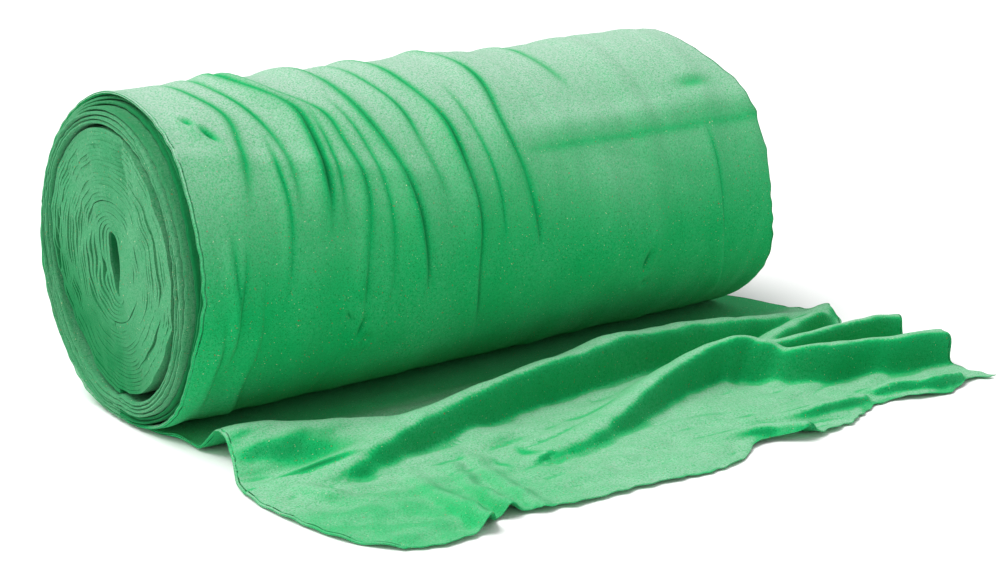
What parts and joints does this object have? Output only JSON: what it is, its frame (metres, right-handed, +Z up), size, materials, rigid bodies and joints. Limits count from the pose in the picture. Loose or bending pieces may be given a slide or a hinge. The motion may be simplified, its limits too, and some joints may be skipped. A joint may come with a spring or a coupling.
{
  "type": "coreless cloth backdrop roll",
  "caption": "Coreless roll of thick napped green backdrop cloth lying on its side, with a loose folded tail paid out on the floor.",
  "frame": {"origin": "on the floor under the middle of the roll", "axes": "+X along the roll, -Y towards the loose tail, +Z up"},
  "size_m": [1.074, 0.792, 0.4293],
  "materials": {
    "cloth_tail": "napped",
    "cloth_loose_turns": "napped",
    "cloth_pack": "napped, cut edges",
    "cloth_heart": "napped, cut edges"
  },
  "bodies": {
    "loose_turns": {"lead_turn": "cloth_loose_turns", "loose_turn_1": "cloth_loose_turns", "loose_turn_2": "cloth_loose_turns", "loose_turn_3": "cloth_loose_turns", "loose_turn_4": "cloth_loose_turns", "loose_turn_5": "cloth_loose_turns", "loose_turn_6": "cloth_loose_turns"},
    "pack": {"pack_turns_1": "cloth_pack", "pack_turns_2": "cloth_pack", "pack_turns_3": "cloth_pack", "pack_turns_4": "cloth_pack", "pack_turns_5": "cloth_pack", "pack_turns_6": "cloth_pack", "pack_turns_7": "cloth_pack", "pack_turns_8": "cloth_pack", "pack_turns_9": "cloth_pack"},
    "heart": {"heart_turns_1": "cloth_heart", "heart_turns_2": "cloth_heart", "heart_turns_3": "cloth_heart", "heart_turns_4": "cloth_heart"},
    "tail": {"tail": "cloth_tail"}
  },
  "joints": [
    {"name": "pack_turn", "type": "hinge", "parent": "loose_turns", "child": "pack", "pos_m": [0, 0, 0.2153], "axis": [-1, 0, 0], "range_deg": [0, 80]},
    {"name": "tail_pay_out", "type": "slide", "parent": "loose_turns", "child": "tail", "axis": [0, -1, 0], "range_m": [0, 0.305]},
    {"name": "heart_telescope", "type": "slide", "parent": "pack", "child": "heart", "axis": [-1, 0, 0], "range_m": [-0.02, 0.06]}
  ],
  "couplings": [
    {"joint": "tail_pay_out", "follows": "pack_turn", "m_per_rad": 0.217}
  ]
}
